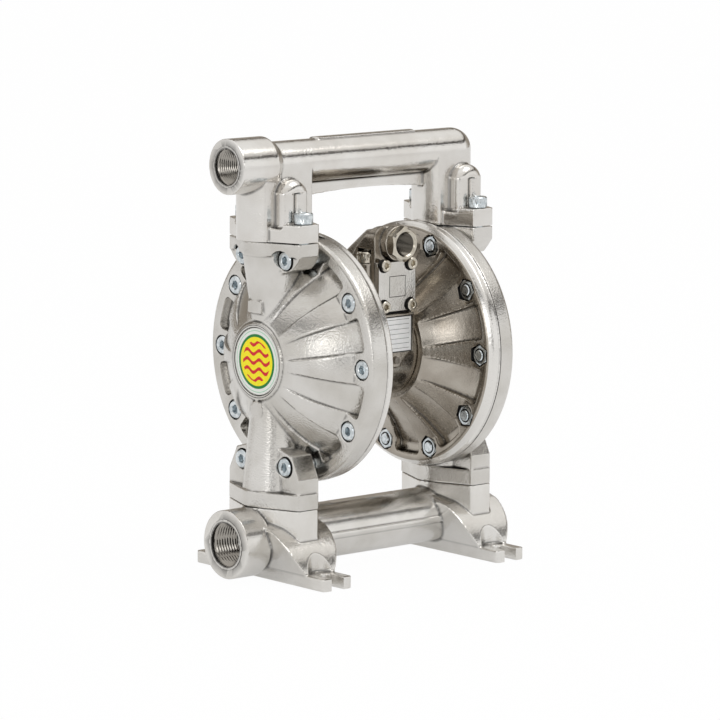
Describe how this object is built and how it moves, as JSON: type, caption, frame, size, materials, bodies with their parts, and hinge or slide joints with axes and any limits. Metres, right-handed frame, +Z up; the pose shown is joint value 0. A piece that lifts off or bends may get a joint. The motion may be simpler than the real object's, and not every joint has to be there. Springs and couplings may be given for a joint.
{
  "type": "air operated diaphragm pump",
  "caption": "Metal air operated double diaphragm pump with ribbed round covers, slotted feet, a handle-like outlet tube and a central air valve.",
  "frame": {"origin": "middle of the four foot slots, on the floor plane", "axes": "+X along the diaphragm rod away from the pipe ports, -Y towards the air inlet and valve cover, +Z up"},
  "size_m": [0.2307, 0.177, 0.3099],
  "materials": {
    "cast_nickel": "satin",
    "zinc_steel": "satin",
    "nickel_brass": "satin",
    "rod_steel": "satin",
    "plate_aluminium": "satin",
    "black_rubber": "matte",
    "bearing_plastic": "matte",
    "white_plastic": "satin",
    "badge": "gloss",
    "label": "satin"
  },
  "bodies": {
    "pump": {"air_inlet_fitting": "nickel_brass", "centre_body": "cast_nickel", "inlet_manifold": "cast_nickel", "inlet_manifold_screws": "zinc_steel", "label_plate": "label", "left_air_cover": "cast_nickel", "left_badge": "badge", "left_cover_nuts": "zinc_steel", "left_cover_screws": "zinc_steel", "left_fluid_cover": "cast_nickel", "left_hub_screws": "zinc_steel", "left_inlet_seal": "black_rubber", "left_inlet_seat": "rod_steel", "left_outlet_seal": "black_rubber", "left_outlet_seat": "rod_steel", "left_rod_bushing": "bearing_plastic", "left_rod_seal": "black_rubber", "outlet_manifold": "cast_nickel", "outlet_manifold_screws": "zinc_steel", "right_air_cover": "cast_nickel", "right_cover_nuts": "zinc_steel", "right_cover_screws": "zinc_steel", "right_fluid_cover": "cast_nickel", "right_hub_screws": "zinc_steel", "right_inlet_seal": "black_rubber", "right_inlet_seat": "rod_steel", "right_outlet_seal": "black_rubber", "right_outlet_seat": "rod_steel", "right_rod_bushing": "bearing_plastic", "right_rod_seal": "black_rubber", "spool_plug": "plate_aluminium", "spool_sleeve": "plate_aluminium", "tab_screw": "zinc_steel", "valve_base_gasket": "black_rubber", "valve_body": "cast_nickel", "valve_clamp_screws": "zinc_steel", "valve_cover": "cast_nickel", "valve_cover_gasket": "black_rubber", "valve_cover_screws": "zinc_steel"},
    "shuttle": {"diaphragm_rod": "rod_steel", "left_diaphragm": "black_rubber", "right_diaphragm": "black_rubber", "left_outer_plate": "rod_steel", "right_outer_plate": "rod_steel", "left_inner_plate": "plate_aluminium", "right_inner_plate": "plate_aluminium", "left_plate_screw": "zinc_steel", "right_plate_screw": "zinc_steel"},
    "valve_spool": {"valve_spool": "plate_aluminium"},
    "left_inlet_ball": {"left_inlet_ball": "white_plastic"},
    "right_inlet_ball": {"right_inlet_ball": "white_plastic"},
    "left_outlet_ball": {"left_outlet_ball": "white_plastic"},
    "right_outlet_ball": {"right_outlet_ball": "white_plastic"}
  },
  "joints": [
    {"name": "shuttle_slide", "type": "slide", "parent": "pump", "child": "shuttle", "axis": [1, 0, 0], "range_m": [-0.008, 0.008], "deforming": ["left_diaphragm", "right_diaphragm"]},
    {"name": "left_inlet_ball_lift", "type": "slide", "parent": "pump", "child": "left_inlet_ball", "axis": [0, 0, 1], "range_m": [0, 0.005]},
    {"name": "right_inlet_ball_lift", "type": "slide", "parent": "pump", "child": "right_inlet_ball", "axis": [0, 0, 1], "range_m": [0, 0.005]},
    {"name": "left_outlet_ball_lift", "type": "slide", "parent": "pump", "child": "left_outlet_ball", "axis": [0, 0, 1], "range_m": [0, 0.005]},
    {"name": "right_outlet_ball_lift", "type": "slide", "parent": "pump", "child": "right_outlet_ball", "axis": [0, 0, 1], "range_m": [0, 0.005]},
    {"name": "spool_slide", "type": "slide", "parent": "pump", "child": "valve_spool", "axis": [0, 0, 1], "range_m": [-0.0035, 0.0035]}
  ]
}
